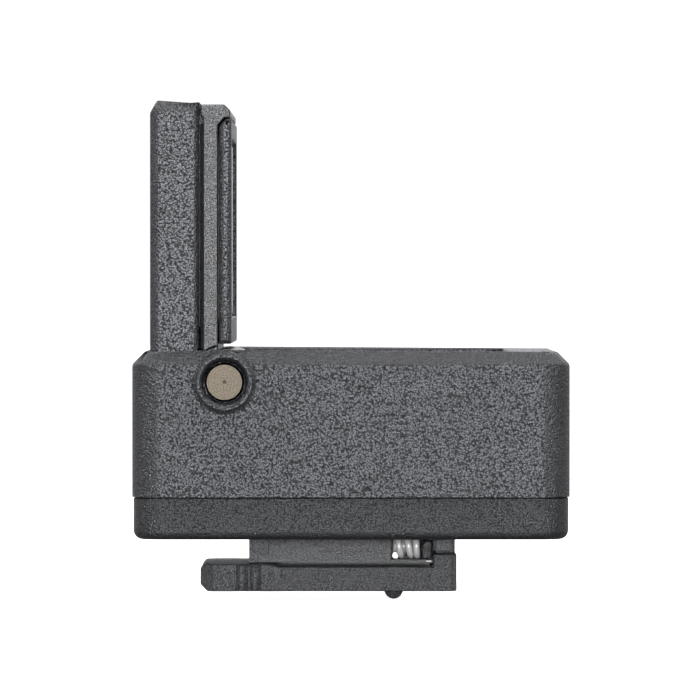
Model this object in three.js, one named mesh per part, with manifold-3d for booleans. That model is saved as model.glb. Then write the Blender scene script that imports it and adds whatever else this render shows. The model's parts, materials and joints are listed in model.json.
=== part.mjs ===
// Fold-up camera light: an LED head tilts up out of a battery body, and the body stands on a
// sprung clip whose plate also slides into an accessory shoe.
// Millimetres, +Z up, +X towards where the raised head shines, Y across the body.
// The origin is on the underside of the clip plate, under the middle of the body.
import * as THREE from 'three';
import { mergeVertices } from 'three/addons/utils/BufferGeometryUtils.js';
import Module from 'manifold-3d';

const wasm = await Module();
wasm.setup();

// ---------- driving dimensions ----------

const runningGap = 0.2;
const fitGap = 0.1;

// body
const bodyLength = 36.6;
const bodyWidth = 42;
const bodyBottom = 4.67;
const bodyTop = 20.35;
const seamZ = 8.15;
const seamGap = 0.12;
const cornerRadius = 2.65;
const topChamfer = 1.05;
const lowerInset = 0.12;
const lowerRounding = 0.75;
const sideWall = 1.6;
const endWall = 1.2;
const floorWall = 1.2;
const bodyFront = bodyLength / 2;
const bodyRear = -bodyFront;
const bodySide = bodyWidth / 2;
const innerSide = bodySide - sideWall;
const innerFront = bodyFront - sideWall;
const innerRear = bodyRear + endWall;

// head hinge
const pivotX = -10.55;
const pivotZ = 17.8;
const pinRadius = 1.5;
const pinHoleRadius = 1.6;
const counterboreRadius = 1.82;
const bossProud = 0.4;
const bossBaseRadius = 2.6;
const bossLipRadius = 2.27;
const bossMouthRadius = 2.13;
const hubRadius = 2.75;
const hubDepth = 1.8;
const washerThickness = 0.3;
const barrelRadius = 2.7;
const barrelClearRadius = 3.1;
const barrelEnd = innerSide - hubDepth - washerThickness - 2 * fitGap;
const pinLength = 8.4;

// head, measured from the hinge axis: u runs forwards, w runs up while the head is raised
const headTop = 23.55;
const headSide = innerSide - runningGap;
const headChamfer = 0.6;
const bezelChamfer = 0.3;
const coverFrontChamfer = 0.35;
const coverTopBand = 0.9;
const coverBack = -6.25;
const coverFront = -2.15;
const coverSlope = 0.25;
const coverTopCut = 1.05;
const coreBack = -1.8;
const coreFront = -0.57;
const coreTop = headTop - 0.35;
const capBack = -2;
const capBottom = 22.3;
const bezelBack = -0.47;
const bezelFront = 0.57;
const bezelTop = 22;
const bezelLedge = 0.55;
const capFront = -0.03;
const capShoulder = 22.7;
const windowSide = 15.4;
const windowBottom = 5.4;
const windowTop = 20.3;
const recessFloor = -bezelFront - 0.25;
const recessFront = headTop + 0.3;
const troughRadius = -coverBack + runningGap;
const troughFront = coverFront + 0.25;

// clip
const clipSide = 9.55;
const plateThickness = 2;
const noseX = -12.75;
const noseEnd = -7;
const noseHeight = 2.27;
const plateSide = 9.25;
const noseShoulder = -5.7;
const lugRear = 7.02;
const lugFront = 8.95;
const lugTop = 3.13;
const clipPivotX = 7.95;
const clipPivotZ = 1;
const clipPinRadius = 0.5;
const clipPinHole = 0.6;
const knuckleSide = 4;
const knuckleHalf = 0.75;
const knuckleRadius = 0.9;
const bumpX = 3.65;
const bumpRadius = 0.84;
const bumpDrop = 0.95;

// neck between the clip and the body
const neckBottom = 2.35;
const neckTop = bodyBottom - fitGap;
const neckRear = -8.65;
const neckTopSide = 5.6;
const neckBottomSide = 6.2;
const pocketRear = 3.4;
const pocketFront = 6.9;
const coreEnd = 6.4;
const pocketFloor = 2.6;
const pocketDepth = 2.6;
const frontBlockRear = 6.95;
const frontBlockFront = 8.8;
const frontBlockBottom = 3.42;

// clip spring and slider
const springWire = 0.25;
const springRadius = 0.8;
const springTurns = 2.5;
const springZ = 3.7;
const springY = 4.9;
const springFront = 6;
const sliderRear = 6.08;
const sliderStud = 0.1;
const sliderFront = 6.85;
const sliderTravel = 0.4;
const sliderTop = 4.2;
const tongueRear = 4.9;
const tongueSide = 2.8;

// screws
const screwHeadRadius = 1.4;
const screwHeadHeight = 1;
const screwShankRadius = 0.75;
const screwHoleRadius = 0.95;
const shellScrewLength = 5.2;
const shellScrewX = [-13.8, 13.4];
const shellScrewY = 16.2;
const postRadius = 2;
const pillarRadius = 2.45;
const footScrewX = [-5.4, 0.6];

// inner parts
const batteryRear = -6.3;
const batteryFront = 15;
const batteryNear = -13.6;
const batteryFar = 12.4;
const batteryBottom = 10;
const batteryTop = 14.9;
const boardBottom = 8;
const boardThickness = 1;
const boardRear = -11;
const boardFront = 10.6;
const boardNear = -15.6;
const boardFar = 18;
const chipHeight = 0.8;
const usbX = -3;
const usbWidth = 8.9;
const usbHeight = 3.2;
const buttonX = 7;
const buttonZ = 12;
const buttonRadius = 2.2;
const buttonProud = 0.25;
const buttonFlange = 0.6;
const buttonFlangeThickness = 0.5;
const buttonTravel = 0.5;

// ---------- materials ----------

function material(name, color, roughness, metalness) {
  return new THREE.MeshStandardMaterial({ name, color, roughness, metalness });
}

const grainedPlastic = material('grained_plastic', 0x2b2d31, 0.62, 0);
const satinPlastic = material('satin_plastic', 0x34363b, 0.45, 0);
const footPlastic = material('foot_plastic', 0x1f2023, 0.5, 0);
const footMetal = material('foot_metal', 0x1f2023, 0.45, 0.2);
const pinMetal = material('pin_metal', 0xc9bda2, 0.3, 1);
const springSteel = material('spring_steel', 0xc4c6c8, 0.25, 1);
const screwSteel = material('screw_steel', 0x55575a, 0.35, 1);
const aluminium = material('aluminium', 0xb8babc, 0.4, 1);
const circuitBoard = material('circuit_board', 0x20402c, 0.5, 0);
const boardWhite = material('board_white', 0xe9e6dc, 0.45, 0);
const batteryFoil = material('battery_foil', 0xa9abad, 0.35, 0.6);
const diffuserPlastic = material('diffuser_plastic', 0xf2f0e8, 0.3, 0);
const washerPolymer = material('washer_polymer', 0xd8d4c8, 0.5, 0);

// ---------- solids ----------

function solidOf(geometry) {
  const bare = geometry.clone();
  bare.deleteAttribute('normal');
  bare.deleteAttribute('uv');
  const merged = mergeVertices(bare, 1e-4);
  const vertProperties = new Float32Array(merged.attributes.position.array);
  const triVerts = new Uint32Array(merged.index.array);
  return new wasm.Manifold(new wasm.Mesh({ numProp: 3, vertProperties, triVerts }));
}

function geometryOf(solid) {
  const mesh = solid.getMesh();
  const geometry = new THREE.BufferGeometry();
  geometry.setAttribute('position', new THREE.Float32BufferAttribute(mesh.vertProperties, 3));
  geometry.setIndex(Array.from(mesh.triVerts));
  geometry.computeVertexNormals();
  return geometry;
}

function block(x0, x1, y0, y1, z0, z1) {
  const geometry = new THREE.BoxGeometry(x1 - x0, y1 - y0, z1 - z0);
  geometry.translate((x0 + x1) / 2, (y0 + y1) / 2, (z0 + z1) / 2);
  return solidOf(geometry);
}

function acrossY(shape, y0, y1, curveSegments = 12) {
  const geometry = new THREE.ExtrudeGeometry(shape, { depth: y1 - y0, bevelEnabled: false, curveSegments });
  geometry.rotateX(Math.PI / 2);
  geometry.translate(0, y1, 0);
  return solidOf(geometry);
}

function alongX(shape, x0, x1) {
  const geometry = new THREE.ExtrudeGeometry(shape, { depth: x1 - x0, bevelEnabled: false });
  const axes = new THREE.Matrix4().set(0, 0, 1, x0, 1, 0, 0, 0, 0, 1, 0, 0, 0, 0, 0, 1);
  geometry.applyMatrix4(axes);
  return solidOf(geometry);
}

function upZ(shape, z0, z1, curveSegments = 6) {
  const geometry = new THREE.ExtrudeGeometry(shape, { depth: z1 - z0, bevelEnabled: false, curveSegments });
  geometry.translate(0, 0, z0);
  return solidOf(geometry);
}

function cylinderY(radius, x, z, y0, y1, segments = 32) {
  const geometry = new THREE.CylinderGeometry(radius, radius, y1 - y0, segments);
  geometry.translate(x, (y0 + y1) / 2, z);
  return solidOf(geometry);
}

function cylinderZ(radius, x, y, z0, z1, segments = 24) {
  const geometry = new THREE.CylinderGeometry(radius, radius, z1 - z0, segments);
  geometry.rotateX(Math.PI / 2);
  geometry.translate(x, y, (z0 + z1) / 2);
  return solidOf(geometry);
}

function lathed(profile, segments = 24) {
  const points = profile.map(([r, h]) => new THREE.Vector2(r, h));
  return new THREE.LatheGeometry(points, segments);
}

function polygon(points) {
  return new THREE.Shape(points.map(([a, b]) => new THREE.Vector2(a, b)));
}

function roundedRectangle(x0, x1, y0, y1, radius) {
  const shape = new THREE.Shape();
  shape.absarc(x1 - radius, y0 + radius, radius, -Math.PI / 2, 0, false);
  shape.absarc(x1 - radius, y1 - radius, radius, 0, Math.PI / 2, false);
  shape.absarc(x0 + radius, y1 - radius, radius, Math.PI / 2, Math.PI, false);
  shape.absarc(x0 + radius, y0 + radius, radius, Math.PI, Math.PI * 1.5, false);
  return shape;
}

// a block with rounded upright corners whose top and bottom edges are both chamfered, or rounded in steps
function chamferedBlock(outline, z0, z1, chamfer, steps = 1) {
  const geometry = new THREE.ExtrudeGeometry(outline, {
    depth: z1 - z0 - 2 * chamfer,
    bevelEnabled: true,
    bevelThickness: chamfer,
    bevelSize: chamfer,
    bevelOffset: -chamfer,
    bevelSegments: steps,
    curveSegments: 7,
  });
  geometry.translate(0, 0, z0 + chamfer);
  return solidOf(geometry);
}

// a profile carried across Y whose edges round both side faces are chamfered
function chamferedAcrossY(profile, side, chamfer, curveSegments = 12) {
  const geometry = new THREE.ExtrudeGeometry(profile, {
    depth: 2 * (side - chamfer),
    bevelEnabled: true,
    bevelThickness: chamfer,
    bevelSize: chamfer,
    bevelOffset: -chamfer,
    bevelSegments: 1,
    curveSegments,
  });
  geometry.rotateX(Math.PI / 2);
  geometry.translate(0, side - chamfer, 0);
  return solidOf(geometry);
}

// a lathed profile of [radius, distance out from the middle] pairs, set on the hinge axis at one end
function onHinge(profile, sign) {
  const turned = lathed(profile, 40);
  if (sign < 0) {
    turned.rotateX(Math.PI);
  }
  return solidOf(turned).translate([pivotX, 0, pivotZ]);
}

function union(solids) {
  return solids.reduce((whole, next) => whole.add(next));
}

function cut(solid, tools) {
  return tools.reduce((rest, tool) => rest.subtract(tool), solid);
}

function part(name, shape, look) {
  const geometry = shape.isBufferGeometry ? shape : geometryOf(shape);
  const mesh = new THREE.Mesh(geometry, look);
  mesh.name = name;
  return mesh;
}

// ---------- body ----------

function headRecess() {
  const troughAngle = Math.acos(troughFront / troughRadius);
  const floorAngle = Math.asin(recessFloor / barrelClearRadius);
  const meetAngle = Math.acos(troughFront / barrelClearRadius);
  const shape = new THREE.Shape();
  const aboveBody = 8;
  shape.moveTo(-troughRadius, aboveBody);
  shape.lineTo(-troughRadius, 0);
  shape.absarc(0, 0, troughRadius, Math.PI, 2 * Math.PI - troughAngle, false);
  shape.absarc(0, 0, barrelClearRadius, 2 * Math.PI - meetAngle, 2 * Math.PI + floorAngle, false);
  shape.lineTo(recessFront, recessFloor);
  shape.lineTo(recessFront, aboveBody);
  return acrossY(shape, -innerSide, innerSide).translate([pivotX, 0, pivotZ]);
}

function bodyCavity() {
  const troughOuter = troughRadius + floorWall;
  const wallFront = troughFront + floorWall;
  const barrelOuter = barrelClearRadius + floorWall;
  const ceiling = recessFloor - floorWall;
  const rear = innerRear - pivotX;
  const front = innerFront - pivotX;
  const low = seamZ - 1 - pivotZ;
  const ledgeRear = recessFront + endWall;
  const ledgeCeiling = bodyTop - pivotZ - topChamfer - 0.4;
  const shape = new THREE.Shape();
  shape.moveTo(front, low);
  shape.lineTo(rear, low);
  shape.absarc(0, 0, troughOuter, 2 * Math.PI - Math.acos(rear / troughOuter),
    2 * Math.PI - Math.acos(wallFront / troughOuter), false);
  shape.absarc(0, 0, barrelOuter, 2 * Math.PI - Math.acos(wallFront / barrelOuter),
    2 * Math.PI + Math.asin(ceiling / barrelOuter), false);
  shape.lineTo(ledgeRear, ceiling);
  shape.lineTo(ledgeRear, ledgeCeiling);
  shape.lineTo(front, ledgeCeiling);
  return acrossY(shape, -innerSide, innerSide).translate([pivotX, 0, pivotZ]);
}

function hingeHub(sign) {
  const inner = sign * (innerSide - hubDepth);
  const outer = sign * (innerSide + fitGap);
  return cylinderY(hubRadius, pivotX, pivotZ, Math.min(inner, outer), Math.max(inner, outer), 40);
}

// the low cone that stands round each end of the hinge pin
function hingeBoss(sign) {
  return onHinge([
    [0, innerSide + fitGap],
    [bossBaseRadius, innerSide + fitGap],
    [bossBaseRadius, bodySide],
    [bossLipRadius, bodySide + bossProud],
    [0, bodySide + bossProud],
  ], sign);
}

function pinHole(sign) {
  return onHinge([
    [0, innerSide - hubDepth - 1],
    [pinHoleRadius, innerSide - hubDepth - 1],
    [pinHoleRadius, bodySide - 0.8],
    [counterboreRadius, bodySide - 0.8],
    [counterboreRadius, bodySide + 0.05],
    [bossMouthRadius, bodySide + bossProud],
    [bossMouthRadius, bodySide + bossProud + 1],
    [0, bodySide + bossProud + 1],
  ], sign);
}

function usbOpening() {
  const half = usbWidth / 2 + runningGap;
  const bottom = boardBottom + boardThickness + fitGap - runningGap;
  const top = bottom + usbHeight + 2 * runningGap;
  return block(usbX - half, usbX + half, innerSide - 1, bodySide + 1, bottom, top);
}

function shellPosts() {
  const base = seamZ + seamGap / 2;
  const ceilings = [11.2, pivotZ + recessFloor - floorWall + 0.3];
  const posts = [];
  shellScrewX.forEach((x, i) => {
    for (const y of [-shellScrewY, shellScrewY]) {
      posts.push(cylinderZ(postRadius, x, y, base, ceilings[i]));
    }
  });
  return posts;
}

function postPilots() {
  const pilots = [];
  for (const x of shellScrewX) {
    for (const y of [-shellScrewY, shellScrewY]) {
      pilots.push(cylinderZ(screwHoleRadius, x, y, seamZ - 1, bodyBottom + shellScrewLength + 0.8));
    }
  }
  return pilots;
}

function upperShell() {
  const outline = roundedRectangle(bodyRear, bodyFront, -bodySide, bodySide, cornerRadius);
  const seamFace = seamZ + seamGap / 2;
  const whole = chamferedBlock(outline, seamFace - topChamfer, bodyTop, topChamfer);
  const above = block(-bodyLength, bodyLength, -bodyWidth, bodyWidth, seamFace, bodyTop + 1);
  const shell = cut(whole.intersect(above), [headRecess(), bodyCavity()]);
  const hinges = [hingeHub(1), hingeHub(-1), hingeBoss(1), hingeBoss(-1)];
  const fitted = union([shell, ...hinges, ...shellPosts()]);
  const buttonHole = cylinderY(buttonRadius + runningGap, buttonX, buttonZ, innerSide - 1, bodySide + 1);
  return cut(fitted, [pinHole(1), pinHole(-1), usbOpening(), buttonHole, ...postPilots()]);
}

function lowerShell() {
  const side = bodySide - lowerInset;
  const end = bodyFront - lowerInset;
  const outline = roundedRectangle(-end, end, -side, side, cornerRadius - lowerInset);
  const rim = seamZ - seamGap / 2;
  const whole = chamferedBlock(outline, bodyBottom, rim + lowerRounding, lowerRounding, 4);
  const below = block(-bodyLength, bodyLength, -bodyWidth, bodyWidth, 0, rim);
  const lip = 0.8;
  const lipGap = 0.15;
  const lipHeight = 0.9;
  const rear = innerRear + lipGap;
  const front = innerFront - lipGap;
  const lipSide = innerSide - lipGap;
  const tongue = block(rear, front, -lipSide, lipSide, rim - 1, rim + lipHeight);
  const tray = block(rear + lip, front - lip, lip - lipSide, lipSide - lip, bodyBottom + floorWall, seamZ + 3);
  const shell = whole.intersect(below).add(tongue).subtract(tray);
  const pillars = [];
  const holes = [];
  for (const x of shellScrewX) {
    for (const y of [-shellScrewY, shellScrewY]) {
      const keep = block(rear, front, -lipSide, lipSide, bodyBottom + 0.5, rim);
      pillars.push(cylinderZ(pillarRadius, x, y, bodyBottom + 0.5, rim).intersect(keep));
      holes.push(cylinderZ(screwHoleRadius, x, y, 0, seamZ + 1));
      holes.push(cylinderZ(screwHeadRadius + runningGap, x, y, 0, bodyBottom + screwHeadHeight + 0.5));
    }
  }
  for (const x of footScrewX) {
    holes.push(cylinderZ(screwHoleRadius, x, 0, 0, seamZ));
  }
  return cut(union([shell, ...pillars]), holes);
}

// head down, shank up; the drive is left to the finish
function screw(length) {
  return lathed([
    [0, 0],
    [screwHeadRadius - 0.2, 0],
    [screwHeadRadius, 0.2],
    [screwHeadRadius, screwHeadHeight],
    [screwShankRadius, screwHeadHeight],
    [screwShankRadius, length - 0.4],
    [screwShankRadius - 0.4, length],
    [0, length],
  ], 16).rotateX(Math.PI / 2);
}

function addShellScrews(group) {
  const corners = ['rear_near', 'rear_far', 'front_near', 'front_far'];
  corners.forEach((corner, i) => {
    const mesh = part(`shell_screw_${corner}`, screw(shellScrewLength), screwSteel);
    const x = shellScrewX[Math.floor(i / 2)];
    const y = i % 2 ? shellScrewY : -shellScrewY;
    mesh.position.set(x, y, bodyBottom + 0.35);
    group.add(mesh);
  });
}

function hingePin() {
  const rim = 0.15;
  const dimple = 0.2;
  return lathed([
    [0, 0],
    [pinRadius - rim, 0],
    [pinRadius, rim],
    [pinRadius, pinLength - rim],
    [pinRadius - rim, pinLength],
    [dimple, pinLength],
    [0, pinLength - dimple],
  ], 40);
}

function frictionWasher() {
  return lathed([
    [pinHoleRadius, 0],
    [hubRadius, 0],
    [hubRadius, washerThickness],
    [pinHoleRadius, washerThickness],
    [pinHoleRadius, 0],
  ], 32);
}

function addHingeHardware(group) {
  for (const [end, sign] of [['near', -1], ['far', 1]]) {
    const pin = part(`hinge_pin_${end}`, hingePin(), pinMetal);
    const washer = part(`friction_washer_${end}`, frictionWasher(), washerPolymer);
    const pinOuter = bodySide - fitGap;
    pin.position.set(pivotX, sign * (pinOuter - pinLength), pivotZ);
    washer.position.set(pivotX, sign * (barrelEnd + fitGap), pivotZ);
    if (sign < 0) {
      pin.rotation.x = Math.PI;
      washer.rotation.x = Math.PI;
    }
    group.add(pin, washer);
  }
}

function battery() {
  const outline = roundedRectangle(batteryRear, batteryFront, batteryNear, batteryFar, 1.5);
  return chamferedBlock(outline, batteryBottom, batteryTop, 0.5);
}

function mainBoard() {
  const top = boardBottom + boardThickness;
  const board = block(boardRear, boardFront, boardNear, boardFar, boardBottom, top);
  const chipRear = boardRear + 1.5;
  const chipLength = 2.3;
  const chipSide = 4;
  const chip = block(chipRear, chipRear + chipLength, -chipSide, chipSide, top - 0.2, top + chipHeight);
  return board.add(chip);
}

function usbSocket() {
  const bottom = boardBottom + boardThickness + fitGap;
  const radius = usbHeight / 2;
  const half = usbWidth / 2;
  const depth = 7.3;
  const front = bodySide - 0.3;
  const outer = roundedRectangle(usbX - half, usbX + half, bottom, bottom + usbHeight, radius - 0.01);
  const wall = 0.3;
  const innerRadius = radius - wall - 0.01;
  const inner = roundedRectangle(usbX - half + wall, usbX + half - wall, bottom + wall,
    bottom + usbHeight - wall, innerRadius);
  const can = acrossY(outer, front - depth, front, 4);
  const mouth = acrossY(inner, front - depth + 1, front + 1, 4);
  const tongueHalf = 3.3;
  const mid = bottom + radius;
  const tongueFlat = 0.35;
  const tongue = block(usbX - tongueHalf, usbX + tongueHalf, front - depth + 0.5, front - 0.8,
    mid - tongueFlat, mid + tongueFlat);
  return can.subtract(mouth).add(tongue);
}

// the far face of the button is its cap; a flange behind the wall keeps it in
function modeButton() {
  const back = innerSide - runningGap - fitGap - buttonFlangeThickness;
  const reach = bodySide + buttonProud - back;
  const edge = 0.25;
  const cap = lathed([
    [0, 0],
    [buttonRadius + buttonFlange, 0],
    [buttonRadius + buttonFlange, buttonFlangeThickness],
    [buttonRadius, buttonFlangeThickness],
    [buttonRadius, reach - edge],
    [buttonRadius - edge, reach],
    [0, reach],
  ], 32);
  return cap.translate(buttonX, back, buttonZ);
}

function buttonSwitch() {
  const side = 2;
  const depth = 1.6;
  const buttonBack = innerSide - runningGap - fitGap - buttonFlangeThickness;
  const front = buttonBack - buttonTravel - fitGap;
  const bottom = boardBottom + boardThickness + fitGap;
  return block(buttonX - side, buttonX + side, front - depth, front, bottom, buttonZ + 1.5);
}

// ---------- foot neck ----------

function neck() {
  const section = polygon([
    [-neckBottomSide, neckBottom],
    [neckBottomSide, neckBottom],
    [neckTopSide, neckTop],
    [-neckTopSide, neckTop],
  ]);
  const core = alongX(section, neckRear, coreEnd);
  const steps = [
    [-5.6, 3.9],
    [-7, 3],
    [-7.9, neckBottom],
  ];
  const stepSide = neckBottomSide + 0.5;
  const gussets = steps.map(([front, bottom]) => block(neckRear, front, -stepSide, stepSide, bottom, neckTop));
  const frontBlock = upZ(roundedRectangle(frontBlockRear, frontBlockFront, -plateSide, plateSide, 0.6),
    frontBlockBottom, neckTop);
  const bridge = block(coreEnd - 0.5, frontBlockRear + 0.5, -2.2, 2.2, 4.3, neckTop);
  const knuckle = block(clipPivotX - knuckleHalf, clipPivotX + knuckleHalf, -knuckleSide, knuckleSide,
    clipPivotZ, neckTop - 0.5);
  const knuckleEnd = cylinderY(knuckleRadius, clipPivotX, clipPivotZ, -knuckleSide, knuckleSide, 24);
  const solid = union([core, ...gussets, frontBlock, bridge, knuckle, knuckleEnd]);
  const pockets = [-1, 1].map((sign) => {
    const ends = [sign * (neckBottomSide - pocketDepth), sign * (neckBottomSide + 1)];
    return block(pocketRear, pocketFront, Math.min(...ends), Math.max(...ends), pocketFloor, neckTop + 1);
  });
  const slotTop = sliderTop + fitGap;
  const slotRear = sliderRear - sliderStud - sliderTravel - fitGap;
  const barSlot = block(slotRear, pocketFront, -bodySide, bodySide, pocketFloor, slotTop);
  const tongueSlotSide = tongueSide + runningGap;
  const tongueSlotRear = tongueRear - sliderTravel - fitGap;
  const tongueSlot = block(tongueSlotRear, pocketFront, -tongueSlotSide, tongueSlotSide, pocketFloor, slotTop);
  const pinBore = cylinderY(clipPinHole, clipPivotX, clipPivotZ, -bodySide, bodySide, 24);
  const threads = footScrewX.map((x) => cylinderZ(screwHoleRadius, x, 0, neckBottom + 0.4, neckTop + 1));
  return cut(solid, [...pockets, barSlot, tongueSlot, pinBore, ...threads]);
}

function addFootScrews(group) {
  const length = 4;
  footScrewX.forEach((x, i) => {
    const mesh = part(`foot_screw_${i + 1}`, screw(length), screwSteel);
    mesh.rotation.x = Math.PI;
    mesh.position.set(x, 0, bodyBottom + floorWall + screwHeadHeight + fitGap);
    group.add(mesh);
  });
}

// ---------- clip ----------

function gripSide(sign) {
  const depth = 0.35;
  const steps = [
    [-9.75, 0],
    [-9.55, depth * 0.6],
    [-9.35, depth],
    [-9.1, depth],
    [-8.9, depth * 0.6],
    [-8.7, 0],
    [-8.55, 0],
    [-8.4, depth * 0.6],
    [-8.2, depth],
    [-8, depth],
    [-7.8, depth * 0.6],
    [-7.6, 0],
    [noseShoulder - 0.9, 0],
    [noseShoulder - 0.4, (clipSide - plateSide) / 2],
    [noseShoulder, clipSide - plateSide],
  ];
  return steps.map(([x, inset]) => [x, sign * (clipSide - inset)]);
}

function clipArm() {
  const corner = 1.1;
  const rounding = 1;
  const near = [[noseX + corner, -clipSide], ...gripSide(-1), [lugFront - rounding, -plateSide]];
  const far = [[noseX + corner, clipSide], ...gripSide(1), [lugFront - rounding, plateSide]];
  const outline = polygon([
    [noseX, corner - clipSide],
    ...near,
    [lugFront - rounding * 0.3, rounding * 0.3 - plateSide],
    [lugFront, rounding - plateSide],
    [lugFront, plateSide - rounding],
    [lugFront - rounding * 0.3, plateSide - rounding * 0.3],
    ...far.reverse(),
    [noseX, clipSide - corner],
  ]);
  const profile = polygon([
    [noseX + 0.6, 0],
    [lugFront, 0],
    [lugFront, lugTop],
    [lugRear, lugTop],
    [lugRear, plateThickness],
    [noseEnd + 1.2, plateThickness],
    [noseEnd, noseHeight],
    [noseX + 0.3, noseHeight],
    [noseX, noseHeight - 0.3],
    [noseX, 0.6],
  ]);
  const body = upZ(outline, -1, lugTop + 1).intersect(acrossY(profile, -bodySide, bodySide));
  const slotSide = knuckleSide + runningGap;
  const slot = block(clipPivotX - 1.15, lugFront + 1, -slotSide, slotSide, -1, lugTop + 1);
  const pinBore = cylinderY(clipPinHole, clipPivotX, clipPivotZ, -plateSide + 1, plateSide + 1, 24);
  const bumpHole = cylinderZ(bumpRadius + fitGap, bumpX, 0, -1, plateThickness - 0.6);
  return cut(body, [slot, pinBore, bumpHole]);
}

function clipPin() {
  const length = 2 * plateSide - 1 - 0.4;
  const pin = new THREE.CylinderGeometry(clipPinRadius, clipPinRadius, length, 20);
  pin.translate(0, -plateSide + 1.2 + length / 2, 0);
  return pin;
}

function detentBump() {
  const height = plateThickness - 0.7 + bumpDrop;
  const dome = [];
  for (let i = 0; i <= 4; i += 1) {
    const angle = (i / 4) * (Math.PI / 2);
    dome.push([bumpRadius * Math.sin(angle), bumpDrop * (1 - Math.cos(angle))]);
  }
  return lathed([...dome, [bumpRadius, height], [0, height]], 20).rotateX(Math.PI / 2);
}

class Coil extends THREE.Curve {
  getPoint(t) {
    const angle = t * springTurns * 2 * Math.PI;
    const length = springFront - pocketRear - 2 * (springWire + fitGap);
    const x = (t - 0.5) * length;
    return new THREE.Vector3(x, springRadius * Math.sin(angle), -springRadius * Math.cos(angle));
  }
}

function clipSpring() {
  const wire = new THREE.Shape();
  wire.absarc(0, 0, springWire, 0, 2 * Math.PI, false);
  const steps = springTurns * 12;
  return new THREE.ExtrudeGeometry(wire, { steps, extrudePath: new Coil(), curveSegments: 4 });
}

// the bar the springs push on, with a guide tongue behind it
function clipSlider() {
  const side = neckBottomSide - fitGap;
  const bottom = pocketFloor + fitGap;
  const chamfer = 0.35;
  const profile = polygon([
    [sliderRear, bottom],
    [sliderFront, bottom],
    [sliderFront, sliderTop],
    [sliderRear + chamfer, sliderTop],
    [sliderRear, sliderTop - chamfer],
  ]);
  const bar = acrossY(profile, -side, side);
  const studs = [-1, 1].map((sign) => {
    const y = sign * (springY - 0.2);
    return block(sliderRear - sliderStud, sliderRear + 0.2, y - 0.5, y + 0.5, bottom + 0.3, sliderTop - 0.5);
  });
  const tongue = block(tongueRear, sliderRear + 0.4, -tongueSide, tongueSide, bottom, sliderTop);
  return union([bar, tongue, ...studs]);
}

// ---------- head ----------

// the round spaces at both ends of the barrel, which the body's hubs and the washers fill
function hubClearances() {
  return [-1, 1].map((sign) => {
    const ends = [sign * barrelEnd, sign * bodySide];
    return cylinderY(barrelClearRadius, 0, 0, Math.min(...ends), Math.max(...ends), 40);
  });
}

function headCover() {
  const roundEnd = -coverBack;
  const shape = new THREE.Shape();
  shape.moveTo(coverFront, headTop - coverSlope);
  shape.lineTo(coverBack + headChamfer, headTop);
  shape.lineTo(coverBack, headTop - coverTopCut);
  shape.absarc(0, 0, roundEnd, Math.PI, 2 * Math.PI - Math.acos(coverFront / roundEnd), false);
  const plan = polygon([
    [coverBack, headChamfer - headSide],
    [coverBack + headChamfer, -headSide],
    [coverFront - coverFrontChamfer, -headSide],
    [coverFront, coverFrontChamfer - headSide],
    [coverFront, headSide - coverFrontChamfer],
    [coverFront - coverFrontChamfer, headSide],
    [coverBack + headChamfer, headSide],
    [coverBack, headSide - headChamfer],
  ]);
  const front = polygon([
    [-headSide, -roundEnd - 1],
    [headSide, -roundEnd - 1],
    [headSide, headTop - coverTopBand],
    [headSide - headChamfer, headTop],
    [headChamfer - headSide, headTop],
    [-headSide, headTop - coverTopBand],
  ]);
  const profile = acrossY(shape, -headSide, headSide);
  const whole = profile.intersect(upZ(plan, -headTop, 2 * headTop)).intersect(alongX(front, coverBack - 1, 0));
  const wall = 1.2;
  const side = headSide - wall;
  const hollow = block(coverBack + wall, 0, -side, side, -2.4, headTop - wall - 0.4);
  return cut(whole, [hollow, ...hubClearances()]);
}

function coreFrame() {
  const slab = polygon([
    [coreBack, 0],
    [coreFront, 0],
    [coreFront, bezelTop - 0.6 + fitGap],
    [coreFront + bezelLedge, bezelTop + fitGap],
    [bezelFront - 0.1, bezelTop + fitGap],
    [bezelFront - 0.1, capShoulder],
    [capFront, coreTop],
    [capBack, coreTop],
    [capBack, capBottom],
    [coreBack, capBottom - 0.15],
  ]);
  const side = headSide - 0.15;
  const plate = acrossY(slab, -side, side);
  const rebate = coverFront + fitGap;
  const inset = 1.4;
  const tongue = block(rebate, coreBack + 0.5, inset - side, side - inset, barrelRadius, coreTop - 1.6);
  const barrel = cylinderY(barrelRadius, 0, 0, -barrelEnd, barrelEnd, 40);
  const ears = hubClearances();
  const core = union([cut(plate, ears), tongue, barrel]);
  const opening = block(-4, 2, -windowSide - 1.3, windowSide + 1.3, windowBottom - 1.2, windowTop + 1.2);
  const bores = [-1, 1].map((sign) => {
    const ends = [sign * (barrelEnd - 6.4), sign * bodySide];
    return cylinderY(pinHoleRadius, 0, 0, Math.min(...ends), Math.max(...ends));
  });
  return cut(core, [opening, ...bores, ...ears]);
}

function headBezel() {
  const slab = polygon([
    [bezelBack, barrelClearRadius + 0.1],
    [bezelFront, barrelClearRadius + 0.1],
    [bezelFront, bezelTop],
    [coreFront + bezelLedge + fitGap, bezelTop],
    [bezelBack, bezelTop - 0.6],
  ]);
  const whole = chamferedAcrossY(slab, headSide, bezelChamfer);
  const window = block(-4, 4, -windowSide, windowSide, windowBottom, windowTop);
  return whole.subtract(window);
}

function diffuser() {
  const side = windowSide + 1.1;
  const back = -1.7;
  const lens = block(back, bezelBack - fitGap, -side, side, windowBottom - 1, windowTop + 1);
  const face = block(back, bezelFront - 0.3, fitGap * 2 - windowSide, windowSide - fitGap * 2,
    windowBottom + fitGap * 2, windowTop - fitGap * 2);
  return lens.add(face);
}

function ledBoard() {
  return block(-2.75, -2.05, -windowSide - 0.9, windowSide + 0.9, windowBottom - 0.8, windowTop + 0.8);
}

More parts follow.
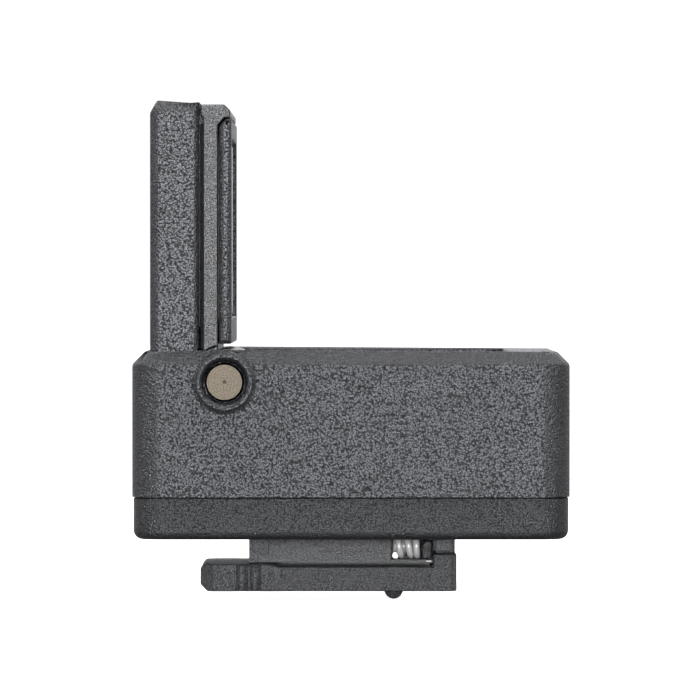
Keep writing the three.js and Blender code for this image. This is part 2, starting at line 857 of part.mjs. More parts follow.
function heatSpreader() {
  const back = coverBack + 1.4;
  const plate = block(-3.7, -2.9, -windowSide - 0.9, windowSide + 0.9, windowBottom - 0.8, windowTop + 0.8);
  const ribs = [];
  const ribCount = 7;
  const ribPitch = 4.6;
  for (let i = 0; i < ribCount; i += 1) {
    const y = (i - (ribCount - 1) / 2) * ribPitch;
    ribs.push(block(back, -3.5, y - 0.4, y + 0.4, windowBottom, windowTop));
  }
  return union([plate, ...ribs]);
}

// ---------- assembly ----------

const light = new THREE.Group();
light.add(part('upper_shell', upperShell(), grainedPlastic));
light.add(part('lower_shell', lowerShell(), grainedPlastic));
addShellScrews(light);
addHingeHardware(light);
light.add(part('battery_pack', battery(), batteryFoil));
light.add(part('main_board', mainBoard(), circuitBoard));
light.add(part('usb_socket', usbSocket(), springSteel));
light.add(part('mode_button', modeButton(), satinPlastic));
light.add(part('button_switch', buttonSwitch(), footPlastic));
light.add(part('foot_neck', neck(), footPlastic));
addFootScrews(light);

const clip = new THREE.Group();
light.add(clip);
clip.add(part('clip_arm', clipArm(), footMetal));
const pin = part('clip_pin', clipPin(), springSteel);
pin.position.set(clipPivotX, 0, clipPivotZ);
const bump = part('detent_bump', detentBump(), footPlastic);
bump.position.set(bumpX, 0, -bumpDrop);
clip.add(pin, bump);

light.add(part('clip_slider', clipSlider(), footMetal));
for (const [end, sign] of [['near', -1], ['far', 1]]) {
  const spring = part(`clip_spring_${end}`, clipSpring(), springSteel);
  spring.position.set((pocketRear + springFront) / 2, sign * springY, springZ);
  light.add(spring);
}

const head = new THREE.Group();
head.position.set(pivotX, 0, pivotZ);
light.add(head);
head.add(part('head_cover', headCover(), grainedPlastic));
head.add(part('head_frame', coreFrame(), satinPlastic));
head.add(part('head_bezel', headBezel(), grainedPlastic));
head.add(part('diffuser', diffuser(), diffuserPlastic));
head.add(part('led_board', ledBoard(), boardWhite));
head.add(part('heat_spreader', heatSpreader(), aluminium));

export default light;
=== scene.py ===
"""Fold-up camera light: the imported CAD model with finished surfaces, hardware and studio light."""
import json
import math

import bmesh
import bpy
from mathutils import Matrix, Vector

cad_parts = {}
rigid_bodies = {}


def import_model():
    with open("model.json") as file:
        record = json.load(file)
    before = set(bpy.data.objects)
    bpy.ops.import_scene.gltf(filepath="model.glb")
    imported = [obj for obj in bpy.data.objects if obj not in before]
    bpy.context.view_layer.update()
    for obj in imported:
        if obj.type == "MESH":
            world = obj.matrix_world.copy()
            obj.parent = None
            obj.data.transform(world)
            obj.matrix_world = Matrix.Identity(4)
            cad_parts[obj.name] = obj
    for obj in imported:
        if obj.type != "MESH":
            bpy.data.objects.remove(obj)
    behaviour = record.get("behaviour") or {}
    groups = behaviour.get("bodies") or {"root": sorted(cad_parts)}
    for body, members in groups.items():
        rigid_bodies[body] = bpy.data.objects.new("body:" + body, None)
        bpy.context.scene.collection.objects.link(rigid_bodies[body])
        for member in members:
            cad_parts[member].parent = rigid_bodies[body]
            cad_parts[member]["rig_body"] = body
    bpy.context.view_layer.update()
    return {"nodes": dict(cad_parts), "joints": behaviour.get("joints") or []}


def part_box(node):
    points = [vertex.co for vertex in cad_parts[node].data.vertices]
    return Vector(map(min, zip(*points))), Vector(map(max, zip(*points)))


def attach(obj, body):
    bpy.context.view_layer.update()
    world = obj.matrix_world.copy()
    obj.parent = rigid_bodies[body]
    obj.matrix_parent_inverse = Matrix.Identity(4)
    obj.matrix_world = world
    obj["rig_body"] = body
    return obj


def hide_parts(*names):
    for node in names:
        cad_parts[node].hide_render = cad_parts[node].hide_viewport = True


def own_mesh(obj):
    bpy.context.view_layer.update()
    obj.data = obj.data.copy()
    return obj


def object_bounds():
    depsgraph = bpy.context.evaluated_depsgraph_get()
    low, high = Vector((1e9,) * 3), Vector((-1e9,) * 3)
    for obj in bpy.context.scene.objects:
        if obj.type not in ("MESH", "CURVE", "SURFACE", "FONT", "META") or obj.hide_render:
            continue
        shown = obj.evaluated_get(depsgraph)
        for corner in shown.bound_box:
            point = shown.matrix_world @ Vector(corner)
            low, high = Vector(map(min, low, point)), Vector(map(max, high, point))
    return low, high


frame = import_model()

MM = 0.001
NODES = frame["nodes"]
JOINTS = {joint["name"]: joint for joint in frame["joints"]}
HINGE = Vector(JOINTS["head_tilt"]["pos_m"])

# how bright the surroundings and the floor are, then the lights' powers in watts
WORLD_SIDES = 0.35
WORLD_BEHIND = 1.0
WORLD_ABOVE = 0.5
WORLD_BASE = 0.10
FLOOR_GLOW = 0.95
TOP_POWER = 1.2
KEY_POWER = 7.6
FRONT_POWER = 2.6
LOW_POWER = 2.5


# ---------- shader helpers ----------


class Shader:
    """A node tree being built: makes nodes, joins sockets and does small sums."""

    def __init__(self, name):
        self.material = bpy.data.materials.new(name)
        self.material.use_nodes = True
        self.nodes = self.material.node_tree.nodes
        self.links = self.material.node_tree.links
        self.surface = self.nodes["Principled BSDF"]
        self.position = None

    def node(self, kind, **settings):
        made = self.nodes.new(kind)
        for key, value in settings.items():
            setattr(made, key, value)
        return made

    def feed(self, target, value):
        if isinstance(value, bpy.types.NodeSocket):
            self.links.new(value, target)
        else:
            target.default_value = value

    def math(self, operation, first, second=0.0, clamp=False):
        made = self.node("ShaderNodeMath", operation=operation, use_clamp=clamp)
        self.feed(made.inputs[0], first)
        self.feed(made.inputs[1], second)
        return made.outputs[0]

    def millimetres(self):
        """The point on the piece, in its own frame, in millimetres."""
        if self.position is None:
            coordinates = self.node("ShaderNodeTexCoord")
            scaled = self.node("ShaderNodeVectorMath", operation="SCALE")
            self.feed(scaled.inputs[0], coordinates.outputs["Object"])
            scaled.inputs["Scale"].default_value = 1 / MM
            self.position = scaled.outputs[0]
        return self.position

    def noise(self, scale, detail=2.0, roughness=0.5):
        made = self.node("ShaderNodeTexNoise")
        self.feed(made.inputs["Vector"], self.millimetres())
        made.inputs["Scale"].default_value = scale
        made.inputs["Detail"].default_value = detail
        made.inputs["Roughness"].default_value = roughness
        return made.outputs["Fac"]

    def cells(self, scale, warp=0.0, smooth=0.35):
        """Rounded pebbles of about 1/scale mm, 0 in the middle of each and rising to its edge."""
        where = self.millimetres()
        if warp:
            wander = self.node("ShaderNodeTexNoise")
            self.feed(wander.inputs["Vector"], where)
            wander.inputs["Scale"].default_value = scale * 0.9
            shift = self.node("ShaderNodeVectorMath", operation="SCALE")
            self.feed(shift.inputs[0], wander.outputs["Color"])
            shift.inputs["Scale"].default_value = warp
            moved = self.node("ShaderNodeVectorMath", operation="ADD")
            self.feed(moved.inputs[0], where)
            self.feed(moved.inputs[1], shift.outputs[0])
            where = moved.outputs[0]
        made = self.node("ShaderNodeTexVoronoi", feature="SMOOTH_F1")
        self.feed(made.inputs["Vector"], where)
        made.inputs["Scale"].default_value = scale
        made.inputs["Smoothness"].default_value = smooth
        return made.outputs["Distance"]

    def flatness(self, start=0.962, end=0.9992):
        """1 where the surface lies square to an axis of the part, 0 on edges and corners."""
        coordinates = self.node("ShaderNodeTexCoord")
        split = self.node("ShaderNodeSeparateXYZ")
        self.feed(split.inputs[0], coordinates.outputs["Normal"])
        sizes = [self.math("ABSOLUTE", split.outputs[i]) for i in range(3)]
        largest = self.math("MAXIMUM", self.math("MAXIMUM", sizes[0], sizes[1]), sizes[2])
        return self.span(largest, start, end, 0.0, 1.0, "SMOOTHSTEP")

    def span(self, value, low, high, to_low, to_high, kind="LINEAR"):
        made = self.node("ShaderNodeMapRange", interpolation_type=kind)
        self.feed(made.inputs["Value"], value)
        made.inputs["From Min"].default_value = low
        made.inputs["From Max"].default_value = high
        made.inputs["To Min"].default_value = to_low
        made.inputs["To Max"].default_value = to_high
        return made.outputs[0]

    def blend(self, amount, low, high):
        made = self.node("ShaderNodeMix", data_type="RGBA")
        self.feed(made.inputs["Factor"], amount)
        made.inputs["A"].default_value = (*low, 1.0)
        made.inputs["B"].default_value = (*high, 1.0)
        return made.outputs["Result"]

    def bump(self, height, depth_mm, over=None):
        made = self.node("ShaderNodeBump")
        self.feed(made.inputs["Height"], height)
        made.inputs["Distance"].default_value = depth_mm * MM
        made.inputs["Strength"].default_value = 1.0
        if over:
            self.feed(made.inputs["Normal"], over)
        return made.outputs[0]

    def finish(self, **inputs):
        names = {
            "color": "Base Color",
            "roughness": "Roughness",
            "metallic": "Metallic",
            "normal": "Normal",
            "specular": "Specular IOR Level",
            "transmission": "Transmission Weight",
            "subsurface": "Subsurface Weight",
            "coat": "Coat Weight",
        }
        for key, value in inputs.items():
            self.feed(self.surface.inputs[names[key]], value)
        return self.material


# ---------- materials ----------


def grain_with_painted_light(name, cell, depth, dark, light, edge_painted_shade=0.12):
    """Moulded leather-like grain in relief, with painted light and shade in its colour: the pebble tops are
    painted lighter and the crevices between them painted darker.

    Its pebbles are about a cell wide in mm. Over edges and corners, where the surface isn't square
    to an axis, the relief is shallower and painted shade darkens the colour to the share given by the last
    argument.
    """
    shader = Shader(name)
    edge_relief = 0.45
    crinkle_weight = 0.75
    contrast = 1.2
    flat = shader.flatness()
    amount = shader.span(flat, 0.0, 1.0, edge_relief, 1.0)
    pebbles = shader.cells(1 / cell, warp=cell * 0.9, smooth=0.12)
    crinkles = shader.noise(2.1 / cell, detail=1.5)
    relief = shader.math("SUBTRACT", shader.math("MULTIPLY", crinkles, crinkle_weight), pebbles)
    normal = shader.bump(shader.math("MULTIPLY", relief, amount), depth)
    # painted light and shade: the colour is lighter where the relief rises on the pebble tops and darker in
    # the crevices
    tone = shader.math("POWER", shader.span(relief, -0.36, 0.16, 0.0, 1.0), contrast)
    # painted shade: the colour darkens over edges and corners, by how square the surface lies
    painted_light_and_shade = shader.math("MULTIPLY", tone, shader.span(flat, 0.0, 1.0, edge_painted_shade, 1.0))
    color = shader.blend(painted_light_and_shade, dark, light)
    roughness = shader.span(crinkles, 0.3, 0.7, 0.24, 0.36)
    return shader.finish(color=color, roughness=roughness, normal=normal, specular=0.6)


def satin(name, dark, light, roughness=0.4, depth=0.006):
    """Fine satin moulding with soft uneven patches."""
    shader = Shader(name)
    patches = shader.noise(0.8, detail=3.0)
    fine = shader.noise(11.0, detail=2.0)
    color = shader.blend(shader.span(patches, 0.3, 0.7, 0.0, 1.0), dark, light)
    gloss = shader.span(patches, 0.3, 0.7, roughness - 0.05, roughness + 0.06)
    return shader.finish(color=color, roughness=gloss, normal=shader.bump(fine, depth))


def turned_metal():
    """A turned pin end: fine speckle over faint wavering rings about the hinge axis."""
    shader = Shader("turned_pin_metal")
    centred = shader.node("ShaderNodeVectorMath", operation="SUBTRACT")
    shader.feed(centred.inputs[0], shader.millimetres())
    centred.inputs[1].default_value = HINGE / MM
    split = shader.node("ShaderNodeSeparateXYZ")
    shader.feed(split.inputs[0], centred.outputs[0])
    across = shader.math("MULTIPLY", split.outputs[0], split.outputs[0])
    up = shader.math("MULTIPLY", split.outputs[2], split.outputs[2])
    radius = shader.math("SQRT", shader.math("ADD", across, up))
    unevenness = shader.noise(1.2, detail=2.0)
    speckle = shader.noise(9.0, detail=3.0)
    radians_per_mm = 26.0
    wander = shader.math("MULTIPLY", unevenness, 3.0)
    rings = shader.math("SINE", shader.math("ADD", shader.math("MULTIPLY", radius, radians_per_mm), wander))
    grooves = shader.math("MULTIPLY", rings, 0.07)
    height = shader.math("ADD", grooves, shader.math("MULTIPLY", speckle, 1.9))
    tone = shader.span(height, 0.55, 1.35, 0.0, 1.0)
    color = shader.blend(tone, (0.014, 0.012, 0.0095), (0.094, 0.081, 0.065))
    roughness = shader.span(speckle, 0.3, 0.7, 0.34, 0.48)
    normal = shader.bump(height, 0.0022)
    return shader.finish(color=color, roughness=roughness, normal=normal, metallic=1.0)


def wire_with_painted_sheen():
    # painted sheen: a near-white, mostly non-metal colour stands in for the bright reflections of drawn
    # steel wire
    shader = Shader("spring_wire_painted_sheen")
    streaks = shader.noise(6.0, detail=3.0)
    color = shader.blend(streaks, (0.86, 0.86, 0.85), (0.96, 0.96, 0.95))
    roughness = shader.span(streaks, 0.3, 0.7, 0.26, 0.38)
    return shader.finish(color=color, roughness=roughness, metallic=0.25)


def black_steel():
    shader = Shader("black_zinc_steel")
    patches = shader.noise(2.0, detail=3.0)
    color = shader.blend(patches, (0.10, 0.10, 0.11), (0.22, 0.22, 0.23))
    roughness = shader.span(patches, 0.3, 0.7, 0.28, 0.42)
    return shader.finish(color=color, roughness=roughness, metallic=1.0)


def cast_aluminium():
    shader = Shader("satin_aluminium")
    grain = shader.noise(7.0, detail=4.0)
    color = shader.blend(grain, (0.60, 0.61, 0.62), (0.74, 0.75, 0.76))
    roughness = shader.span(grain, 0.3, 0.7, 0.34, 0.46)
    return shader.finish(color=color, roughness=roughness, metallic=1.0, normal=shader.bump(grain, 0.01))


def solder_mask(name, dark, light):
    """Lacquered board: a faint weave under a smooth coat."""
    shader = Shader(name)
    wave = shader.node("ShaderNodeTexWave", wave_type="BANDS", bands_direction="DIAGONAL")
    shader.feed(wave.inputs["Vector"], shader.millimetres())
    wave.inputs["Scale"].default_value = 0.9
    wave.inputs["Distortion"].default_value = 0.6
    patches = shader.noise(0.6, detail=3.0)
    mixed = shader.math("ADD", shader.math("MULTIPLY", wave.outputs["Fac"], 0.25), patches, clamp=True)
    color = shader.blend(mixed, dark, light)
    roughness = shader.span(patches, 0.3, 0.7, 0.24, 0.38)
    return shader.finish(color=color, roughness=roughness, coat=0.3)


def pouch_foil():
    shader = Shader("pouch_foil")
    wrinkles = shader.noise(0.35, detail=4.0)
    fine = shader.noise(3.0, detail=2.0)
    color = shader.blend(wrinkles, (0.42, 0.43, 0.44), (0.60, 0.61, 0.62))
    roughness = shader.span(fine, 0.3, 0.7, 0.26, 0.40)
    normal = shader.bump(wrinkles, 0.12, over=shader.bump(fine, 0.01))
    return shader.finish(color=color, roughness=roughness, normal=normal, metallic=0.55)


def frosted_lens():
    """Milky diffuser with a fine prismatic stipple."""
    shader = Shader("frosted_lens")
    stipple = shader.cells(2.6, smooth=0.6)
    cloud = shader.noise(0.15, detail=2.0)
    color = shader.blend(cloud, (0.84, 0.83, 0.78), (0.90, 0.89, 0.85))
    roughness = shader.span(stipple, 0.0, 0.6, 0.30, 0.45)
    normal = shader.bump(stipple, 0.04)
    return shader.finish(color=color, roughness=roughness, normal=normal, subsurface=0.25, transmission=0.12)


def phosphor():
    shader = Shader("led_phosphor")
    dots = shader.noise(5.0, detail=3.0)
    color = shader.blend(dots, (0.80, 0.62, 0.12), (0.92, 0.78, 0.28))
    roughness = shader.span(dots, 0.3, 0.7, 0.3, 0.5)
    return shader.finish(color=color, roughness=roughness, normal=shader.bump(dots, 0.01))


def gold_contact():
    shader = Shader("gold_contact")
    wear = shader.noise(4.0, detail=3.0)
    color = shader.blend(wear, (0.70, 0.52, 0.20), (0.86, 0.68, 0.32))
    roughness = shader.span(wear, 0.3, 0.7, 0.2, 0.34)
    return shader.finish(color=color, roughness=roughness, metallic=1.0)


LOOKS = {
    "shell": grain_with_painted_light("coarse_grain_plastic", 0.18, 0.22, (0.008, 0.0085, 0.010), (0.188, 0.195, 0.211)),
    "tray": grain_with_painted_light("fine_grain_plastic", 0.14, 0.18, (0.004, 0.0045, 0.006), (0.104, 0.108, 0.117)),
    "cover": grain_with_painted_light("cover_grain_plastic", 0.18, 0.22, (0.010, 0.0105, 0.012), (0.245, 0.252, 0.270)),
    "frame": grain_with_painted_light("satin_frame_plastic", 0.15, 0.03, (0.010, 0.011, 0.012), (0.042, 0.043, 0.047), 0.7),
    # painted light: the foot's colours are lifted above its real black to stand in for light that the neck,
    # shaded under the body, doesn't get
    "foot": grain_with_painted_light("foot_moulding", 0.14, 0.08, (0.075, 0.077, 0.083), (0.255, 0.262, 0.278), 0.7),
    "paint": grain_with_painted_light("black_painted_casting", 0.14, 0.07, (0.030, 0.031, 0.034), (0.165, 0.170, 0.181), 0.7),
    "button": satin("button_plastic", (0.040, 0.042, 0.046), (0.060, 0.063, 0.068), 0.36),
    "pin": turned_metal(),
    "wire": wire_with_painted_sheen(),
    "screw": black_steel(),
    "aluminium": cast_aluminium(),
    "board": solder_mask("green_solder_mask", (0.012, 0.070, 0.035), (0.020, 0.110, 0.055)),
    "white_board": solder_mask("white_solder_mask", (0.74, 0.73, 0.69), (0.84, 0.83, 0.79)),
    "foil": pouch_foil(),
    "lens": frosted_lens(),
    "washer": satin("washer_polymer", (0.62, 0.60, 0.54), (0.74, 0.72, 0.66), 0.4),
    "phosphor": phosphor(),
    "gold": gold_contact(),
}


# ---------- pieces ----------

SHARP_EDGE = math.radians(38)

# nodes that only get soft edges: the look, and the radius of the edges in mm
SOFT_EDGED = {
    "foot_neck": ("foot", 0.06),
    "clip_arm": ("paint", 0.12),
    "clip_slider": ("paint", 0.12),
    "detent_bump": ("foot", 0.05),
    "clip_pin": ("wire", 0.06),
    "head_cover": ("cover", 0.14),
    "head_frame": ("frame", 0.12),
    "head_bezel": ("cover", 0.14),
    "diffuser": ("lens", 0.12),
    "led_board": ("white_board", 0.05),
    "heat_spreader": ("aluminium", 0.08),
    "battery_pack": ("foil", 0.2),
    "main_board": ("board", 0.05),
    "button_switch": ("foot", 0.1),
    "usb_socket": ("wire", 0.04),
}


def add_piece(name, bm, look, body):
    """Makes an object of the mesh, with smooth shading broken at real edges."""
    mesh = bpy.data.meshes.new(name)
    bmesh.ops.recalc_face_normals(bm, faces=bm.faces)
    for face in bm.faces:
        face.smooth = True
    bm.to_mesh(mesh)
    bm.free()
    mesh.set_sharp_from_angle(angle=SHARP_EDGE)
    mesh.materials.append(LOOKS[look])
    piece = bpy.data.objects.new(name, mesh)
    bpy.context.scene.collection.objects.link(piece)
    weighted = piece.modifiers.new("face_weighted_normals", "WEIGHTED_NORMAL")
    weighted.keep_sharp = True
    weighted.weight = 90
    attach(piece, body)
    return piece


def stand_in(name, bm, look, node):
    piece = add_piece(name, bm, look, NODES[node]["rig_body"])
    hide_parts(node)
    return piece


def bare_copy(node):
    """The CAD mesh with its coplanar triangles joined back into faces."""
    bm = bmesh.new()
    bm.from_mesh(NODES[node].data)
    bmesh.ops.remove_doubles(bm, verts=bm.verts, dist=0.002 * MM)
    bmesh.ops.dissolve_limit(bm, angle_limit=math.radians(0.8), verts=bm.verts, edges=bm.edges)
    return bm


def softened(node, look, radius, where=None):
    """A stand-in for the node whose edges are rounded, as moulded and cast edges are."""
    bm = bare_copy(node)
    sharp = math.radians(26.0)
    shortest = 1.3 * radius * MM
    edges = []
    for edge in bm.edges:
        if len(edge.link_faces) != 2 or edge.calc_face_angle(0.0) < sharp:
            continue
        middle = (edge.verts[0].co + edge.verts[1].co) / (2 * MM)
        if edge.calc_length() > shortest and (where is None or where(middle)):
            edges.append(edge)
    bmesh.ops.bevel(
        bm,
        geom=edges,
        offset=radius * MM,
        offset_type="OFFSET",
        segments=2,
        profile=0.5,
        affect="EDGES",
        clamp_overlap=False,
    )
    return stand_in(f"{node}_finished", bm, look, node)


def lathe(profile, origin, direction, segments=72):
    """Turns a profile of (radius, distance along the direction) in mm about an axis through the origin."""
    bm = bmesh.new()
    turn = Vector((0, 0, 1)).rotation_difference(Vector(direction)).to_matrix().to_4x4()
    place = Matrix.Translation(Vector(origin)) @ turn
    rings = []
    for radius, along in profile:
        if radius == 0:
            rings.append([bm.verts.new(place @ Vector((0, 0, along * MM)))])
            continue
        ring = []
        for i in range(segments):
            angle = 2 * math.pi * i / segments
            local = Vector((radius * math.cos(angle), radius * math.sin(angle), along)) * MM
            ring.append(bm.verts.new(place @ local))
        rings.append(ring)
    for low, high in zip(rings, rings[1:]):
        for i in range(segments):
            j = (i + 1) % segments
            corners = [low[i % len(low)], low[j % len(low)], high[j % len(high)], high[i % len(high)]]
            unique = list(dict.fromkeys(corners))
            if len(unique) > 2:
                bm.faces.new(unique)
    return bm


def add_box(bm, low, high, rounding=0.0):
    """Adds a block between two corners in mm, with its edges rounded."""
    made = bmesh.ops.create_cube(bm, size=1.0)
    size = Vector(high) - Vector(low)
    middle = (Vector(high) + Vector(low)) / 2
    for vert in made["verts"]:
        vert.co = Vector((vert.co[i] * size[i] + middle[i] for i in range(3))) * MM
    if rounding:
        edges = list({edge for vert in made["verts"] for edge in vert.link_edges})
        bmesh.ops.bevel(bm, geom=edges, offset=rounding * MM, segments=2, profile=0.5, affect="EDGES")


def box_mm(node):
    low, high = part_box(node)
    return low / MM, high / MM


# ---------- hinge, screws and springs ----------


def add_hinge_pin(node, sign):
    """A turned pin with a shallow centre dimple and a fine edge chamfer."""
    low, high = box_mm(node)
    radius = (high.x - low.x) / 2
    length = high.y - low.y
    inner = low.y if sign > 0 else high.y
    lead_in = 0.15
    chamfer = 0.04
    dimple = 0.18
    dimple_depth = 0.04
    profile = [
        (0, 0),
        (radius - lead_in, 0),
        (radius, lead_in),
        (radius, length - chamfer),
        (radius - chamfer, length),
        (radius - 0.10, length),
        (dimple + 0.05, length),
        (dimple, length),
        (dimple * 0.3, length - 0.03),
        (0, length - dimple_depth),
    ]
    origin = (HINGE.x, inner * MM, HINGE.z)
    stand_in(f"{node}_turned", lathe(profile, origin, (0, sign, 0)), "pin", node)


def add_friction_washer(node, sign):
    low, high = box_mm(node)
    outer = (high.x - low.x) / 2
    thickness = high.y - low.y
    inner = 1.6
    edge = 0.06
    profile = [
        (inner, edge),
        (inner + edge, 0),
        (outer - edge, 0),
        (outer, edge),
        (outer, thickness - edge),
        (outer - edge, thickness),
        (inner + edge, thickness),
        (inner, thickness - edge),
        (inner, edge),
    ]
    face = low.y if sign > 0 else high.y
    origin = (HINGE.x, face * MM, HINGE.z)
    stand_in(f"{node}_turned", lathe(profile, origin, (0, sign, 0)), "washer", node)


def screw_profile(head_radius, head_height, shank_radius, length):
    """Head with a socket down its middle, then a shank with rolled threads."""
    socket_radius = 0.62
    socket_depth = 0.6
    pitch = 0.5
    root = shank_radius - 0.18
    profile = [
        (0, socket_depth),
        (socket_radius - 0.1, socket_depth),
        (socket_radius, socket_depth - 0.12),
        (socket_radius, 0.08),
        (socket_radius + 0.08, 0),
        (head_radius - 0.25, 0),
        (head_radius - 0.08, 0.08),
        (head_radius, 0.25),
        (head_radius, head_height),
        (shank_radius, head_height),
    ]
    along = head_height + 0.4
    while along + pitch < length - 0.3:
        profile.append((root, along))
        profile.append((shank_radius, along + pitch / 2))
        along += pitch
    profile += [(root, along), (root - 0.15, length), (0, length)]
    return profile


def add_screw(node, upwards):
    """A cap screw with a six-lobed socket in its head."""
    low, high = box_mm(node)
    middle = (low + high) / 2
    head_radius = (high.x - low.x) / 2
    length = high.z - low.z
    start = low.z if upwards else high.z
    origin = (middle.x * MM, middle.y * MM, start * MM)
    direction = (0, 0, 1) if upwards else (0, 0, -1)
    bm = lathe(screw_profile(head_radius, 1.0, 0.75, length), origin, direction, 48)
    lobes = 6
    wave = 0.11
    reach = 0.64 * MM
    deepest = 0.61 * MM
    for vert in bm.verts:
        flat = Vector((vert.co.x - origin[0], vert.co.y - origin[1], 0))
        depth = abs(vert.co.z - origin[2])
        if 0 < flat.length < reach and depth < deepest:
            angle = math.atan2(flat.y, flat.x)
            scale = 1 + wave * math.cos(lobes * angle)
            vert.co.x = origin[0] + flat.x * scale
            vert.co.y = origin[1] + flat.y * scale
    stand_in(f"{node}_threaded", bm, "screw", node)


def coil_centre(t, turns, start, length, radius):
    """The wire's centre line: the first and last half turns lie nearly flat, as on a closed coil."""
    flat = 0.5 / turns
    share = min(max((t - flat) / (1 - 2 * flat), 0.0), 1.0)
    rise = 0.06
    ends = rise * min(t, flat) / flat + rise * max(t - 1 + flat, 0.0) / flat
    along = ends + share * (1 - 2 * rise)
    angle = t * turns * 2 * math.pi
    return Vector((start + along * length, radius * math.sin(angle), -radius * math.cos(angle)))


def add_clip_spring(node):
    """A drawn-wire compression spring, which on the real clip shortens as the slider is pushed; here it is
    built as one fixed mesh.
    """
    low, high = box_mm(node)
    middle = (low + high) / 2
    wire = 0.27
    outer = (high.y - low.y) / 2
    turns = 3.0
    steps = 150
    sides = 14
    bm = bmesh.new()
    start = low.x + wire
    length = high.x - low.x - 2 * wire
    points = [coil_centre(i / steps, turns, start, length, outer - wire) for i in range(steps + 1)]
    rings = []
    for i, point in enumerate(points):
        along = (points[min(i + 1, steps)] - points[max(i - 1, 0)]).normalized()
        out = Vector((0, point.y, point.z)).normalized()
        side = along.cross(out).normalized()
        up = side.cross(along)
        ring = []
        for k in range(sides):
            angle = 2 * math.pi * k / sides
            offset = up * (wire * math.cos(angle)) + side * (wire * math.sin(angle))
            place = point + offset + Vector((0, middle.y, middle.z))
            ring.append(bm.verts.new(place * MM))
        rings.append(ring)
    for first, second in zip(rings, rings[1:]):
        for k in range(sides):
            j = (k + 1) % sides
            bm.faces.new([first[k], first[j], second[j], second[k]])
    bm.faces.new(reversed(rings[0]))
    bm.faces.new(rings[-1])
    piece = stand_in(f"{node}_wound", bm, "wire", node)
    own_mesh(piece)


# ---------- head, board and controls ----------


def add_led_array():
    """Rows of small packages on the lamp board, each a pale frame round a yellow window."""
    low, high = box_mm("led_board")
    columns = 9
    rows = 4
    package = Vector((0.26, 2.4, 1.9))
    margin = 1.2
    inset = 0.35
    sunk_frame = 0.02
    sunk_window = 0.05
    proud_window = 0.03
    front = high.x + package.x
    side = package.y / 2
    tall = package.z / 2
    frames = bmesh.new()
    windows = bmesh.new()
    for column in range(columns):
        for row in range(rows):
            across = (column + 0.5) / columns
            up = (row + 0.5) / rows
            y = low.y + margin + across * (high.y - low.y - 2 * margin)
            z = low.z + margin + up * (high.z - low.z - 2 * margin)
            add_box(frames, (high.x - sunk_frame, y - side, z - tall), (front, y + side, z + tall), 0.05)
            corner = (front - sunk_window, y - side + inset, z - tall + inset)
            opposite = (front + proud_window, y + side - inset, z + tall - inset)
            add_box(windows, corner, opposite, 0.02)
    add_piece("led_packages", frames, "white_board", "head")
    add_piece("led_windows", windows, "phosphor", "head")


def add_board_parts():
    """Two rows of chip components on the main board, below the battery."""
    low, high = box_mm("main_board")
    top = low.z + 1.0
    sunk = top - 0.02
    count = 6
    breadth = 0.6
    bm = bmesh.new()
    for i in range(count):
        x = low.x + 0.7
        y = low.y + 1.4 + i * 1.2
        add_box(bm, (x, y, sunk), (x + 1.1, y + breadth, top + 0.5), 0.06)
        x = low.x + 2.6 + i * 1.6
        y = high.y - 1.8
        add_box(bm, (x - 2.0, y, sunk), (x - 1.0, y + breadth, top + 0.45), 0.05)
    add_piece("board_components", bm, "white_board", "body")


def add_usb_contacts():
    """Gold strips on the tongue of the socket."""
    low, high = box_mm("usb_socket")
    middle = (low + high) / 2
    strips = 6
    pitch = 0.85
    half_width = 0.17
    half_tongue = 0.35
    sunk = 0.02
    proud = 0.03
    inner = high.y - 3.6
    outer = high.y - 1.0
    bm = bmesh.new()
    for side in (-1, 1):
        face = middle.z + side * half_tongue
        bottom, top = sorted((face - side * sunk, face + side * proud))
        for i in range(strips):
            x = middle.x + (i - (strips - 1) / 2) * pitch
            add_box(bm, (x - half_width, inner, bottom), (x + half_width, outer, top), 0.01)
    add_piece("usb_contacts", bm, "gold", "body")


def add_mode_button():
    """The button's cap is shallowly dished, with a rounded rim and its flange behind the wall."""
    low, high = box_mm("mode_button")
    middle = (low + high) / 2
    flange = (high.x - low.x) / 2
    thickness = 0.5
    chamfer = 0.08
    radius = flange - 0.6
    reach = high.y - low.y
    profile = [
        (0, 0),
        (flange - chamfer, 0),
        (flange, chamfer),
        (flange, thickness - chamfer),
        (flange - chamfer, thickness),
        (radius, thickness),
        (radius, reach - 0.3),
        (radius - 0.08, reach - 0.1),
        (radius - 0.25, reach),
        (radius - 0.45, reach - 0.02),
        (radius * 0.6, reach - 0.12),
        (radius * 0.3, reach - 0.18),
        (0, reach - 0.2),
    ]
    origin = (middle.x * MM, low.y * MM, middle.z * MM)
    stand_in("mode_button_dished", lathe(profile, origin, (0, 1, 0)), "button", "mode_button")


def outside_of_body(point):
    """Whether a point in mm is near the outside of the body and clear of the seam, which stays crisp."""
    seam = 7.7 < point.z < 8.6
    ends = abs(point.x) > 17.0
    sides = abs(point.y) > 19.3
    top_or_bottom = point.z > 14.5 or point.z < 5.6
    return (ends or sides or top_or_bottom) and not seam


def add_groove_rib():
    """The rib behind the groove between the head's cover and its frame, which keeps light in."""
    low, high = box_mm("head_cover")
    thickness = 0.37
    sunk = 0.02
    end_margin = 2.4
    top_margin = 0.9
    bottom = 22.4
    corner = (high.x - sunk, low.y + end_margin, bottom)
    opposite = (high.x + thickness, high.y - end_margin, high.z - top_margin)
    bm = bmesh.new()
    add_box(bm, corner, opposite)
    add_piece("groove_rib", bm, "frame", NODES["head_frame"]["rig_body"])


